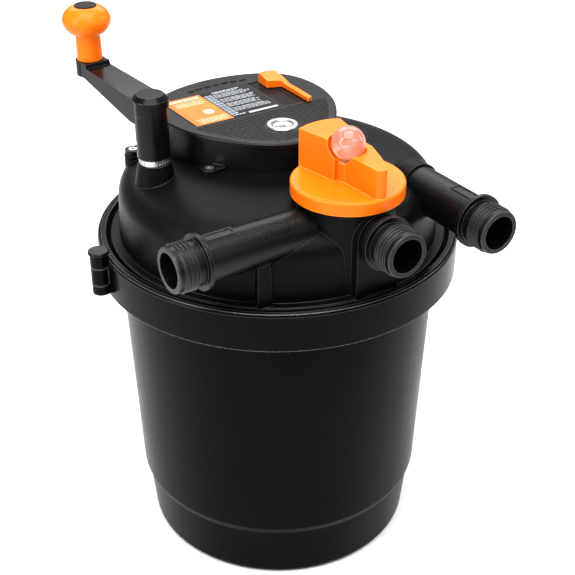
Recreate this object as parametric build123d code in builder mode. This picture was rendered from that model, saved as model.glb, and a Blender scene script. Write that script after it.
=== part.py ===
"""Pressurized pond filter: bayonet tub and lid, hand-cranked foam cleaner, UV head, three-way selector.

Frame: origin at the centre of the tub's base, +Z up, -Y towards the middle port, millimetres.
"""
from build123d import *
from math import acos, cos, pi, radians, sin, sqrt, tan
import os

# ---------------------------------------------------------------- driving dimensions
GAP = 0.3                    # air between curved faces of different moving groups
FIT = 0.05                   # radial running clearance of pins and shafts

# tub
BASE_R = 152.5
FOOT_ROUND = 8.0
WAIST_Z = 66.0               # small step between the lower and the upper wall
WAIST_R = 158.0
UPPER_R = 162.5
RIM_Z = 332.0
RIM_R = 173.0
TUB_WALL = 4.0
FLANGE_R = 188.0
JOINT_Z = 352.5              # plane where the tub flange and the lid flange meet
SEAM = 0.5                   # half of the gap between the flanges
FLANGE_THICK = 10.0
SEAL_R = 177.0
SEAL_CORD = 1.5

# lid
LID_WALL = 4.0
LEDGE_Z = 374.0
LEDGE_R = 181.0
DOME_R = 172.6
SHOULDER_Z = 418.0
SHOULDER_R = 169.2
CROWN = ((154.5, 440.0), (130.0, 447.0), (81.0, 456.0), (0.0, 462.0))

# clamp ring
CLAMP_R = 195.0
CLAMP_WALL = 4.5
CLAMP_Z0 = 332.0
CLAMP_Z1 = 376.0
LIP_R = 183.3
HINGE_R = 202.0
HINGE_ANGLE = 172.0
LATCH_ANGLE = HINGE_ANGLE + 180.0

# selector valve and ports
VALVE = (0.0, -127.0)
HOUSING_R = 50.0
HOUSING_TOP = 462.0
CAVITY_R = 41.0
CAVITY_Z0 = 407.0
CAVITY_Z1 = 453.0
STEM_HOLE_R = 12.0
PORT_Z = 435.0
BORE_R = 17.3
TUBE_R = 22.3
THREAD_R = 24.0
THREAD_ROOT_R = 22.1
THREAD_PITCH = 4.0
THREAD_TURNS = 4
THREAD_START = 7.6           # first crest behind the mouth
FLANGE_BACK = 29.0           # end flange behind the mouth
FRAME_BACK = 53.0            # raised frame behind the mouth
LEFT_MOUTH = -198.0
MIDDLE_MOUTH = -224.0
RIGHT_MOUTH = -235.5
RIGHT_X = 102.0
RIGHT_ROOT_Y = -99.0
SHOULDER_BALL_R = 24.5       # swelling of the lid round the right port's root
SHROUD_R = 24.8
SHROUD_Y0 = 150.0
SHROUD_Y1 = 180.0
RIB_PLACE = (-103.5, -134.0)
RIB_TURN = -16.0
RIB_SIZE = (15.0, 22.0)

# selector knob
KNOB_R = 56.4
KNOB_Z0 = 463.0
KNOB_EDGE_Z = 476.5
GRIP_Z = 516.0
FIN_Z = 506.0
DOME_BALL = (0.0, -126.0, 513.0)
DOME_BALL_R = 16.5
WELL_R = 7.0

# cover of the UV head
COVER_Z = 490.0
COVER_WALL = 3.0
LIP = 1.6                    # overhang of the roof round the side wall
LIP_DEPTH = 5.5
LAMP_HOLE_R = 26.0
SCREW_HOLE_R = 2.2
SCREW_HEAD_R = 4.6
COVER_HALF = ((0, 148), (60, 135), (93.5, 94), (82.5, 12), (52.5, -30), (0, -57))
LABEL_BOX = (-77.0, 33.0, 28.5, 112.0)
PANEL_BOX = (30.5, 33.0, 52.0, 112.0)
LABEL_DEPTH = 0.6
PANEL_DEPTH = 1.6
LEVER_PIN_R = 2.5
RIDGE_PITCH = 4.2
RIDGE_END = 28.0
RIDGE_SPAN = 78.0
WINDOW = (0.0, -10.0)
LEVER_PIVOT = (57.0, 97.0)
NEAR_LUG = (84.5, -4.0)
NEAR_LUG_TOP = 460.5
FAR_LUG = (119.0, 102.0)
FAR_LUG_TOP = 450.5
LUG_R = 8.5
PAD_R = 9.5
PAD_TOP = 445.0
GLAND_Z = 476.0

# crank and the gear pair that it drives
CRANK_R = 132.0
CRANK_ANGLE = 165.5
MODULE = 3.0
PINION_TEETH = 14
RING_TEETH = 74
PRESSURE_ANGLE = 25.0
BACKLASH = 0.35
GEAR_Z0 = 382.0
GEAR_Z1 = 396.0
SHAFT_R = 8.0
BOSS_R = 16.8
BOSS_TOP = 464.5
BOSS_DRAFT = 12.0             # degrees, the boss widens into the roof
BOSS_FOOT = 428.0
BUSH_R = 12.0
COLUMN_R = 16.8
COLUMN_Z0 = 471.5
COLUMN_Z1 = 532.0
ARM_TOP = 536.0
ARM_LENGTH = 119.5
ARM_ANGLE = 94.6
HANDLE_Z0 = 540.0
STEM_R = 13.5
HANDLE_PIN_R = 4.0
PIN_ROOT_R = 5.0
PIN_DEPTH = 12.0
ARM_END = 16.0               # thickness of the arm's outer boss
ARM_ROOT_Z = 507.0           # underside of the arm where it leaves the column
BALL_Z = 583.0
BALL_R = 25.3
BALL_HALF = 19.0             # half height below the widest level
BALL_TOP_HALF = 16.0
BALL_FLAT_R = 13.0

# foam carrier
FOAM_R = 134.0
FOAM_BORE = 36.0
FOAM_COUNT = 6
FOAM_THICK = 50.0
FOAM_PITCH = 54.0
CARRIER_Z0 = 40.0
PLATE_THICK = 6.0
ROD_R = 4.0
ROD_CIRCLE = 85.0

crank_x = CRANK_R * cos(radians(CRANK_ANGLE))
crank_y = CRANK_R * sin(radians(CRANK_ANGLE))
handle_x = crank_x + ARM_LENGTH * cos(radians(ARM_ANGLE))
handle_y = crank_y + ARM_LENGTH * sin(radians(ARM_ANGLE))
foam_z0 = CARRIER_Z0 + PLATE_THICK + 2
carrier_top = foam_z0 + FOAM_COUNT * FOAM_PITCH

os.makedirs("parts", exist_ok=True)
finished = []


def finish(builder, name):
    """Label a finished piece and write its STEP file."""
    builder.part.label = name
    export_step(builder.part, f"parts/{name}.step")
    finished.append(name)


def polar(radius, angle, z=0.0):
    """A point at a radius and an angle in degrees."""
    return (radius * cos(radians(angle)), radius * sin(radians(angle)), z)


def ring(radius_out, radius_in, z0, z1, centre=(0.0, 0.0)):
    """A plain ring or, with no bore, a disc, made in its own builder."""
    with BuildPart() as piece:
        with BuildSketch(Plane.XY.offset(z0)):
            with Locations(centre):
                Circle(radius_out)
                if radius_in > 0:
                    Circle(radius_in, mode=Mode.SUBTRACT)
        extrude(amount=z1 - z0)
    return piece.part


def turned(points):
    """The solid of revolution of a closed polygon of (radius, z) points."""
    with BuildPart() as piece:
        with BuildSketch(Plane.XZ):
            with BuildLine():
                Polyline(*points, close=True)
            make_face()
        revolve(axis=Axis.Z)
    return piece.part


def dome_solid(inset=0.0, floor_z=LEDGE_Z):
    """The dome above a level, smaller all round by an inset."""
    crown = [(r - inset if r > 0 else 0.0, z - inset) for r, z in CROWN]
    with BuildPart() as piece:
        with BuildSketch(Plane.XZ):
            with BuildLine():
                foot = (DOME_R - inset, floor_z)
                top_of_wall = (SHOULDER_R - inset, SHOULDER_Z - inset)
                Line((0, floor_z), foot)
                wall = Line(foot, top_of_wall)
                shoulder = TangentArc(top_of_wall, crown[0], tangent=wall % 1)
                Spline(*crown, tangents=(shoulder % 1, (-1, 0)))
                Line(crown[-1], (0, floor_z))
            make_face()
        revolve(axis=Axis.Z)
    return piece.part


def tube_along(start, direction, radius, length):
    """A horizontal round bar from a point."""
    with BuildPart() as piece:
        with BuildSketch(Plane(origin=start, z_dir=direction)):
            Circle(radius)
        extrude(amount=length)
    return piece.part


def cover_outline(inset=0.0):
    """The pick-shaped outline of the UV head, symmetric about X = 0, smaller by an inset."""
    with BuildSketch(mode=Mode.PRIVATE) as outline:
        with BuildLine():
            heading = (1, 0)
            for start, end in zip(COVER_HALF, COVER_HALF[1:]):
                arc = TangentArc(start, end, tangent=heading)
                heading = arc % 1
            mirror(about=Plane.YZ)
        make_face()
        if inset > 0:
            offset(amount=-inset)
    return outline.sketch


def box_middle(box):
    """The centre of a box given as (x0, y0, x1, y1)."""
    return ((box[0] + box[2]) / 2, (box[1] + box[3]) / 2)


def cover_slab(inset, z0, z1):
    """The outline of the UV head, made smaller by an inset, as a block between two levels."""
    with BuildPart() as piece:
        with BuildSketch(Plane.XY.offset(z0)):
            add(cover_outline(inset))
        extrude(amount=z1 - z0)
    return piece.part


# ---------------------------------------------------------------- tub
with BuildPart() as tub:
    with BuildSketch(Plane.XZ):
        with BuildLine():
            Polyline((0, 0), (BASE_R - FOOT_ROUND, 0))
            RadiusArc((BASE_R - FOOT_ROUND, 0), (BASE_R, FOOT_ROUND), -FOOT_ROUND)
            Polyline(
                (BASE_R, FOOT_ROUND),
                (WAIST_R, WAIST_Z),
                (UPPER_R, WAIST_Z + 9),
                (RIM_R, RIM_Z),
                (RIM_R, JOINT_Z - SEAM - FLANGE_THICK),
                (FLANGE_R, JOINT_Z - SEAM - FLANGE_THICK),
                (FLANGE_R, JOINT_Z - SEAM),
                (RIM_R - TUB_WALL, JOINT_Z - SEAM),
                (RIM_R - TUB_WALL, RIM_Z),
                (UPPER_R - TUB_WALL, WAIST_Z + 11),
                (WAIST_R - TUB_WALL, WAIST_Z + 2),
                (BASE_R - TUB_WALL, FOOT_ROUND + TUB_WALL),
                (BASE_R - FOOT_ROUND, TUB_WALL + 1),
                (0, TUB_WALL + 1),
                (0, 0),
            )
        make_face()
    revolve(axis=Axis.Z)
    step_edges = tub.edges().filter_by(GeomType.CIRCLE).filter_by(
        lambda e: WAIST_Z - 1 < e.center().Z < WAIST_Z + 10 and e.radius > WAIST_R - 1)
    fillet(step_edges, radius=3.5)
    add(ring(SEAL_R + 2.5, SEAL_R - 2.5, JOINT_Z - 2 * SEAL_CORD, JOINT_Z), mode=Mode.SUBTRACT)
finish(tub, "tub")

# a round cord seal in the tub's groove
with BuildPart() as lid_seal:
    with BuildSketch(Plane.XZ):
        with Locations((SEAL_R, JOINT_Z - SEAL_CORD + 0.05)):
            Circle(SEAL_CORD)
    revolve(axis=Axis.Z)
finish(lid_seal, "lid_seal")

# ---------------------------------------------------------------- lid with the valve housing
port_bars = (
    tube_along((-HOUSING_R + 2, VALVE[1], PORT_Z), (-1, 0, 0), TUBE_R + 0.05, 160),
    tube_along((0, VALVE[1] - HOUSING_R + 2, PORT_Z), (0, -1, 0), TUBE_R + 0.05, 60),
    tube_along((RIGHT_X, RIGHT_ROOT_Y - 4, PORT_Z), (0, -1, 0), TUBE_R + 0.05, 150),
)
bore_bars = (
    tube_along((VALVE[0], VALVE[1], PORT_Z), (-1, 0, 0), BORE_R, 80),
    tube_along((VALVE[0], VALVE[1], PORT_Z), (0, -1, 0), BORE_R, 80),
    tube_along((RIGHT_X, RIGHT_ROOT_Y, PORT_Z), (0, -1, 0), BORE_R, 40),
)
with BuildPart() as lid:
    add(dome_solid(0.0, JOINT_Z + SEAM))
    add(turned((
        (DOME_R - LID_WALL, JOINT_Z + SEAM),
        (FLANGE_R, JOINT_Z + SEAM),
        (FLANGE_R, JOINT_Z + SEAM + FLANGE_THICK),
        (LEDGE_R, JOINT_Z + 12),
        (LEDGE_R, LEDGE_Z - 1),
        (LEDGE_R - 1, LEDGE_Z),
        (DOME_R - LID_WALL, LEDGE_Z),
    )))
    # thick ring of plastic round the selector, outside the dome
    with BuildSketch(Plane.XY.offset(JOINT_Z + 14)):
        with Locations(VALVE):
            Circle(HOUSING_R)
    extrude(amount=HOUSING_TOP - JOINT_Z - 14)
    # arched shroud below the middle port
    with BuildSketch(Plane.XZ.offset(SHROUD_Y0)):
        with Locations((0, PORT_Z)):
            Circle(SHROUD_R)
        with Locations((0, LEDGE_Z - 1)):
            Rectangle(2 * SHROUD_R, PORT_Z - LEDGE_Z + 1, align=(Align.CENTER, Align.MIN))
    extrude(amount=SHROUD_Y1 - SHROUD_Y0)
    # rounded shoulder over the root of the right port
    with Locations((RIGHT_X, RIGHT_ROOT_Y, PORT_Z)):
        Sphere(SHOULDER_BALL_R)
    add(tube_along((RIGHT_X, RIGHT_ROOT_Y, PORT_Z), (0, -1, 0), SHOULDER_BALL_R, 14))
    # rib below the left port
    with BuildSketch(Plane.XY.offset(LEDGE_Z - 1)):
        with Locations(Location(RIB_PLACE, RIB_TURN)):
            Rectangle(*RIB_SIZE)
    extrude(amount=PORT_Z - LEDGE_Z - 8, taper=1.5)
    # the space inside the dome
    add(dome_solid(LID_WALL, JOINT_Z + 0.4), mode=Mode.SUBTRACT)
    # valve chamber inside that space
    add(ring(CAVITY_R + LID_WALL + 1, 0, CAVITY_Z0 - LID_WALL, HOUSING_TOP, VALVE))
    # crank boss, through the roof
    with BuildSketch(Plane.XY.offset(BOSS_TOP)):
        with Locations((crank_x, crank_y)):
            Circle(BOSS_R)
    extrude(amount=BOSS_FOOT - BOSS_TOP, taper=-BOSS_DRAFT)
    # pads for the far screws of the UV head, and holes for the near ones
    for side in (-1, 1):
        add(ring(PAD_R, 0, BOSS_FOOT, PAD_TOP, (side * FAR_LUG[0], FAR_LUG[1])))
        add(ring(SCREW_HOLE_R, 0, BOSS_FOOT, COVER_Z, (side * NEAR_LUG[0], NEAR_LUG[1])), mode=Mode.SUBTRACT)
    # chamber, holes for the valve stem and the crank, and the hole for the lamp
    add(ring(CAVITY_R, 0, CAVITY_Z0, CAVITY_Z1, VALVE), mode=Mode.SUBTRACT)
    add(ring(STEM_HOLE_R + FIT, 0, CAVITY_Z1 - 1, HOUSING_TOP + 1, VALVE), mode=Mode.SUBTRACT)
    add(ring(BUSH_R, 0, BOSS_FOOT - 10, BOSS_TOP + 1, (crank_x, crank_y)), mode=Mode.SUBTRACT)
    add(ring(LAMP_HOLE_R, 0, 440, COVER_Z), mode=Mode.SUBTRACT)
    for bar in port_bars + bore_bars:
        add(bar, mode=Mode.SUBTRACT)
    with Locations((RIGHT_X, RIGHT_ROOT_Y, PORT_Z)):
        Sphere(BORE_R, mode=Mode.SUBTRACT)
    # the valve chamber's opening into the dome
    add(ring(BORE_R + 2.7, 0, CAVITY_Z0 - LID_WALL - 1, CAVITY_Z0 + 1, VALVE), mode=Mode.SUBTRACT)
finish(lid, "lid")


# ---------------------------------------------------------------- ports
def port(root, direction, length, framed=True):
    """A tube with an end flange and a male thread, from its root towards its mouth."""
    mouth = Vector(*root) + Vector(*direction) * length
    back = Plane(origin=mouth, z_dir=tuple(-d for d in direction))
    with BuildPart() as piece:
        with BuildSketch(Plane(origin=root, z_dir=direction)):
            Circle(TUBE_R)
        extrude(amount=length - 1)
        collars = ((FLANGE_BACK, TUBE_R + 5.2, 4), (0, TUBE_R - 0.6, 4), (2, THREAD_ROOT_R, 20))
        for level, radius, thick in collars:
            with BuildSketch(back.offset(level)):
                Circle(radius)
            extrude(amount=thick)
        for turn in range(THREAD_TURNS):
            middle = THREAD_START + THREAD_PITCH * turn
            crest = back.offset(middle)
            for foot_plane in (back.offset(middle - 1.4), back.offset(middle + 1.4)):
                with BuildSketch(foot_plane):
                    Circle(THREAD_ROOT_R - 0.05)
                with BuildSketch(crest):
                    Circle(THREAD_R)
                loft()
        if framed:
            # raised frame on top of the tube, behind the flange
            panel = Plane(origin=mouth - Vector(*direction) * FRAME_BACK + Vector(0, 0, TUBE_R - 2.2),
                          x_dir=direction, z_dir=(0, 0, 1))
            with BuildSketch(panel):
                Rectangle(31, 12)
            extrude(amount=2.8)
            with BuildSketch(panel.offset(1.8)):
                Rectangle(28, 9)
            extrude(amount=2, mode=Mode.SUBTRACT)
        with BuildSketch(Plane(origin=root, z_dir=direction)):
            Circle(BORE_R)
        extrude(amount=length, mode=Mode.SUBTRACT)
    return piece


left_root = (-HOUSING_R + 1.9, VALVE[1], PORT_Z)
middle_root = (0, VALVE[1] - HOUSING_R + 1.9, PORT_Z)
right_root = (RIGHT_X, RIGHT_ROOT_Y - 4.1, PORT_Z)
finish(port(left_root, (-1, 0, 0), left_root[0] - LEFT_MOUTH), "port_left")
finish(port(middle_root, (0, -1, 0), middle_root[1] - MIDDLE_MOUTH, framed=False), "port_middle")
finish(port(right_root, (0, -1, 0), right_root[1] - RIGHT_MOUTH), "port_right")

# ---------------------------------------------------------------- selector valve
seal_z = CAVITY_Z1 + 3
with BuildPart() as valve_rotor:
    add(ring(CAVITY_R - GAP, 0, CAVITY_Z0 + 0.4, CAVITY_Z1 - 0.6, VALVE))
    add(ring(STEM_HOLE_R, 0, CAVITY_Z1 - 1, KNOB_Z0 + 6, VALVE))
    # the elbow that joins the middle port to one side, and the foot that opens downwards
    for heading in ((0, -1, 0), (-1, 0, 0)):
        add(tube_along((VALVE[0], VALVE[1], PORT_Z - 2), heading, BORE_R + 2, HOUSING_R), mode=Mode.SUBTRACT)
    add(ring(BORE_R, 0, CAVITY_Z0 - 1, PORT_Z, VALVE), mode=Mode.SUBTRACT)
    # groove of the stem seal
    add(ring(STEM_HOLE_R + 0.5, STEM_HOLE_R - 1.6, seal_z, seal_z + 2.4, VALVE), mode=Mode.SUBTRACT)
finish(valve_rotor, "valve_rotor")

with BuildPart() as valve_seal:
    add(ring(STEM_HOLE_R - 0.1, STEM_HOLE_R - 1.5, seal_z + 0.2, seal_z + 2.2, VALVE))
finish(valve_seal, "valve_seal")

knob_rim = KNOB_R - 0.5
with BuildPart() as selector_knob:
    with BuildSketch(Plane.XY.offset(KNOB_Z0)):
        with Locations(VALVE):
            Circle(KNOB_R)
    extrude(amount=KNOB_EDGE_Z - KNOB_Z0)
    fillet(selector_knob.edges().group_by(Axis.Z)[-1], radius=2.6)
    # shallow tray inside the rounded rim
    with BuildSketch(Plane.XY.offset(KNOB_EDGE_Z - 0.9)):
        with Locations(VALVE):
            Circle(KNOB_R - 5.5)
    extrude(amount=2, taper=-40, mode=Mode.SUBTRACT)
    # tall grip at the back, following the rim
    with BuildSketch(Plane.XY.offset(KNOB_EDGE_Z - 2)):
        with BuildLine():
            Polyline((-18, -103), (-15, -124), (17, -124), (20, -103), (30, -52), (-29, -52), close=True)
        make_face()
        with Locations(VALVE):
            Circle(knob_rim, mode=Mode.INTERSECT)
    extrude(amount=GRIP_Z - KNOB_EDGE_Z + 2)
    fillet(selector_knob.edges().group_by(Axis.Z)[-1], radius=1.2)
    # pointer fin at the front
    with BuildSketch(Plane.XY.offset(KNOB_EDGE_Z - 2)):
        with BuildLine():
            Polyline((-8.5, -122), (24, -122), (24, -132), (14.5, -161), (7.5, -175))
            ThreePointArc((7.5, -175), (1.5, -182.3), (-5.2, -176))
            Line((-5.2, -176), (-8.5, -122))
        make_face()
    extrude(amount=FIN_Z - KNOB_EDGE_Z + 2)
    # round pocket for the sight dome
    with Locations(DOME_BALL):
        Sphere(DOME_BALL_R + 3.2, mode=Mode.SUBTRACT)
    # seat of the dome and the screw's well
    add(ring(WELL_R + 3, 0, KNOB_EDGE_Z - 2, KNOB_EDGE_Z + 18, DOME_BALL[:2]))
    add(ring(WELL_R, 0, KNOB_Z0 + 17, DOME_BALL[2], DOME_BALL[:2]), mode=Mode.SUBTRACT)
    # hollow underside with a hub on the rotor's stem
    add(ring(KNOB_R - 4, STEM_HOLE_R + 3, KNOB_Z0 - 1, KNOB_Z0 + 8, VALVE), mode=Mode.SUBTRACT)
    add(ring(STEM_HOLE_R, 0, KNOB_Z0 - 1, KNOB_Z0 + 6, VALVE), mode=Mode.SUBTRACT)
    add(ring(2.4, 0, KNOB_Z0, KNOB_Z0 + 20, VALVE), mode=Mode.SUBTRACT)
finish(selector_knob, "selector_knob")

with BuildPart() as sight_dome:
    with Locations(DOME_BALL):
        Sphere(DOME_BALL_R)
    with BuildSketch(Plane.XY.offset(DOME_BALL[2] - DOME_BALL_R - 2)):
        with Locations(DOME_BALL[:2]):
            Rectangle(60, 60)
    extrude(amount=4.4, mode=Mode.SUBTRACT)
    add(ring(WELL_R - 0.1, 0, KNOB_Z0 + 21, DOME_BALL[2] - 11, DOME_BALL[:2]))
finish(sight_dome, "sight_dome")

with BuildPart() as knob_screw:
    add(ring(4.6, 0, KNOB_Z0 + 17, KNOB_Z0 + 20, VALVE))
    add(ring(2.3, 0, KNOB_Z0 + 6, KNOB_Z0 + 17.5, VALVE))
finish(knob_screw, "knob_screw")


# ---------------------------------------------------------------- clamp ring and its latch
def sector(angle_from, angle_to, radius=400.0, z0=CLAMP_Z0 - 5, height=60.0):
    """A wedge of space between two angles, used to cut the ring."""
    steps = max(2, int((angle_to - angle_from) / 30) + 1)
    rim = [polar(radius, angle_from + (angle_to - angle_from) * i / steps) for i in range(steps + 1)]
    with BuildPart() as piece:
        with BuildSketch(Plane.XY.offset(z0)):
            with BuildLine():
                Polyline((0, 0), *[p[:2] for p in rim], close=True)
            make_face()
        extrude(amount=height)
    return piece.part


ring_section = (
    (CLAMP_R - CLAMP_WALL, CLAMP_Z0 + 5),
    (LIP_R, CLAMP_Z0 + 5),
    (LIP_R, CLAMP_Z0),
    (CLAMP_R - 1.5, CLAMP_Z0),
    (CLAMP_R, CLAMP_Z0 + 1.5),
    (CLAMP_R, CLAMP_Z1 - 4),
    (CLAMP_R - 1.2, CLAMP_Z1 - 1.2),
    (CLAMP_R - 4, CLAMP_Z1),
    (LIP_R + 3, CLAMP_Z1),
    (LIP_R, CLAMP_Z1 - 4),
    (LIP_R, JOINT_Z + 13),
    (CLAMP_R - CLAMP_WALL, JOINT_Z + 13),
)
pin_x, pin_y, _ = polar(HINGE_R, HINGE_ANGLE)
BARREL_R = 9.5
PIN_R = 3.5
knuckle_z = (CLAMP_Z0 + 4, CLAMP_Z0 + 15, CLAMP_Z1 - 9, CLAMP_Z1 + 6)
clamp_solid = turned(ring_section)


def clamp_half(angle_from, angle_to, knuckles):
    """One half of the ring with its share of the hinge barrel."""
    with BuildPart() as half:
        add(clamp_solid)
        add(sector(angle_from, angle_to), mode=Mode.INTERSECT)
        for z0, z1 in knuckles:
            with BuildSketch(Plane.XY.offset(z0)):
                with Locations((pin_x, pin_y)):
                    Circle(BARREL_R)
            extrude(amount=z1 - z0)
    return half


free_knuckle = ring(BARREL_R + 0.6, 0, knuckle_z[1] - 0.3, knuckle_z[2] + 0.3, (pin_x, pin_y))
split = 0.35                 # degrees left free at each end of a half ring
latch_pin_angle = LATCH_ANGLE - 13
pin_bore = ring(PIN_R + FIT, 0, CLAMP_Z0 - 10, CLAMP_Z1 + 20, (pin_x, pin_y))

with BuildPart() as clamp_rear_half:
    add(clamp_half(LATCH_ANGLE - 360 + split, HINGE_ANGLE - split,
                   ((knuckle_z[0], knuckle_z[1]), (knuckle_z[2], knuckle_z[3]))).part)
    add(free_knuckle, mode=Mode.SUBTRACT)
    add(pin_bore, mode=Mode.SUBTRACT)
    # catch for the latch
    with BuildSketch(Plane.XY.offset(CLAMP_Z0 + 10)):
        with Locations(Location(polar(CLAMP_R + 1.6, LATCH_ANGLE + 4)[:2], LATCH_ANGLE + 4)):
            Rectangle(6, 8)
    extrude(amount=22)
finish(clamp_rear_half, "clamp_rear_half")

with BuildPart() as clamp_front_half:
    add(clamp_half(HINGE_ANGLE + split, LATCH_ANGLE - split,
                   ((knuckle_z[1] + GAP, knuckle_z[2] - GAP),)).part)
    for z0, z1 in ((knuckle_z[0] - 1, knuckle_z[1]), (knuckle_z[2], knuckle_z[3] + 1)):
        add(ring(BARREL_R + 0.6, 0, z0, z1, (pin_x, pin_y)), mode=Mode.SUBTRACT)
    add(pin_bore, mode=Mode.SUBTRACT)
    # two ears that hold the latch pin
    for z0 in (CLAMP_Z0 + 4, CLAMP_Z1 - 10):
        with BuildSketch(Plane.XY.offset(z0)):
            with Locations(Location(polar(CLAMP_R + 5, latch_pin_angle)[:2], latch_pin_angle)):
                Rectangle(16, 12)
        extrude(amount=6)
    latch_x, latch_y, _ = polar(CLAMP_R + 7.5, latch_pin_angle)
    add(ring(3 + FIT, 0, CLAMP_Z0, CLAMP_Z1 + 4, (latch_x, latch_y)), mode=Mode.SUBTRACT)
finish(clamp_front_half, "clamp_front_half")

with BuildPart() as clamp_hinge_pin:
    add(ring(PIN_R, 0, knuckle_z[0], knuckle_z[3], (pin_x, pin_y)))
    add(ring(BARREL_R + 1.5, 0, knuckle_z[3], knuckle_z[3] + 3, (pin_x, pin_y)))
    fillet(clamp_hinge_pin.edges().group_by(Axis.Z)[-1], radius=1.5)
finish(clamp_hinge_pin, "clamp_hinge_pin")

with BuildPart() as latch_pin:
    add(ring(3, 0, CLAMP_Z0 + 3, CLAMP_Z1 - 3, (latch_x, latch_y)))
finish(latch_pin, "latch_pin")

with BuildPart() as latch_lever:
    with BuildSketch(Plane.XY.offset(CLAMP_Z0 + 6)):
        Circle(CLAMP_R + 14)
        Circle(CLAMP_R + 9, mode=Mode.SUBTRACT)
    extrude(amount=CLAMP_Z1 - CLAMP_Z0 - 6)
    # finger edge, turned outwards at the top
    with BuildSketch(Plane.XY.offset(CLAMP_Z1 - 5)):
        Circle(CLAMP_R + 24)
        Circle(CLAMP_R + 9, mode=Mode.SUBTRACT)
    extrude(amount=5)
    add(sector(LATCH_ANGLE - 14, LATCH_ANGLE + 9), mode=Mode.INTERSECT)
    # hook behind the catch of the rear half
    with BuildSketch(Plane.XY.offset(CLAMP_Z0 + 11)):
        with Locations(Location(polar(CLAMP_R + 6, LATCH_ANGLE + 6.5)[:2], LATCH_ANGLE + 6.5)):
            Rectangle(9, 4.5)
    extrude(amount=20)
    # hub round the pin, between the two ears
    with BuildSketch(Plane.XY.offset(CLAMP_Z0 + 10.4)):
        with Locations((latch_x, latch_y)):
            Circle(6)
    extrude(amount=CLAMP_Z1 - CLAMP_Z0 - 20.8)
    for z0, z1 in ((CLAMP_Z0 + 3, CLAMP_Z0 + 10.4), (CLAMP_Z1 - 10.4, CLAMP_Z1 + 1)):
        add(ring(13, 0, z0, z1, (latch_x, latch_y)), mode=Mode.SUBTRACT)
    add(ring(3 + FIT, 0, CLAMP_Z0, CLAMP_Z1 + 4, (latch_x, latch_y)), mode=Mode.SUBTRACT)
finish(latch_lever, "latch_lever")

# ---------------------------------------------------------------- crank and gear pair
def gear_outline(teeth, width_change, first_angle):
    """Involute gear outline: width_change moves each flank in by half the backlash."""
    pitch_r = MODULE * teeth / 2
    base_r = pitch_r * cos(radians(PRESSURE_ANGLE))
    tip_r = pitch_r + MODULE
    root_r = pitch_r - 1.25 * MODULE

    def involute_angle(radius):
        if radius <= base_r:
            return 0.0
        alpha = acos(base_r / radius)
        return tan(alpha) - alpha

    half_tooth = pi / (2 * teeth) - width_change / (2 * pitch_r) + involute_angle(pitch_r)
    start_r = max(base_r, root_r)
    radii = [start_r + (tip_r - start_r) * i / 4 for i in range(5)]
    flank = [(root_r, half_tooth + 0.02 * MODULE / root_r)] if root_r < base_r else []
    flank += [(r, half_tooth - involute_angle(r)) for r in radii]
    points = []
    for tooth in range(teeth):
        middle = radians(first_angle) + 2 * pi * tooth / teeth
        for r, a in flank:
            points.append((r * cos(middle - a), r * sin(middle - a)))
        for r, a in reversed(flank):
            points.append((r * cos(middle + a), r * sin(middle + a)))
    with BuildSketch(mode=Mode.PRIVATE) as outline:
        with BuildLine():
            Polyline(*points, close=True)
        make_face()
    return outline.sketch


with BuildPart() as crank_bush:
    add(ring(BUSH_R - 0.1, SHAFT_R + FIT, BOSS_FOOT - 6, BOSS_TOP - 0.5, (crank_x, crank_y)))
finish(crank_bush, "crank_bush")

# bright toothed ring between the boss and the column
seal_top = COLUMN_Z0 - 1.2
with BuildPart() as crank_seal_ring:
    add(ring(BOSS_R - 1.2, SHAFT_R + FIT, BOSS_TOP, seal_top, (crank_x, crank_y)))
    with BuildSketch(Plane.XY.offset(BOSS_TOP + 1.6)):
        with Locations((crank_x, crank_y)):
            with PolarLocations(BOSS_R - 1, 30):
                Rectangle(2.4, 1.5)
    extrude(amount=seal_top - BOSS_TOP, mode=Mode.SUBTRACT)
finish(crank_seal_ring, "crank_seal_ring")

with BuildPart() as crank_shaft:
    add(ring(SHAFT_R, 0, GEAR_Z1, COLUMN_Z0 + 20, (crank_x, crank_y)))
    add(ring(SHAFT_R - 2, 0, GEAR_Z0 - 1, GEAR_Z1, (crank_x, crank_y)))
    add(ring(SHAFT_R + 3, 0, GEAR_Z1, GEAR_Z1 + 3, (crank_x, crank_y)))
finish(crank_shaft, "crank_shaft")

with BuildPart() as crank_pinion:
    with BuildSketch(Plane.XY.offset(GEAR_Z0)):
        with Locations((crank_x, crank_y)):
            add(gear_outline(PINION_TEETH, BACKLASH / 2, CRANK_ANGLE + 180 + 180 / PINION_TEETH))
            Circle(SHAFT_R - 2, mode=Mode.SUBTRACT)
    extrude(amount=GEAR_Z1 - GEAR_Z0)
finish(crank_pinion, "crank_pinion")

with BuildPart() as ring_gear:
    with BuildSketch(Plane.XY.offset(GEAR_Z0)):
        add(gear_outline(RING_TEETH, BACKLASH / 2, CRANK_ANGLE))
        Circle(92, mode=Mode.SUBTRACT)
    extrude(amount=GEAR_Z1 - GEAR_Z0 - 2)
finish(ring_gear, "ring_gear")

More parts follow.
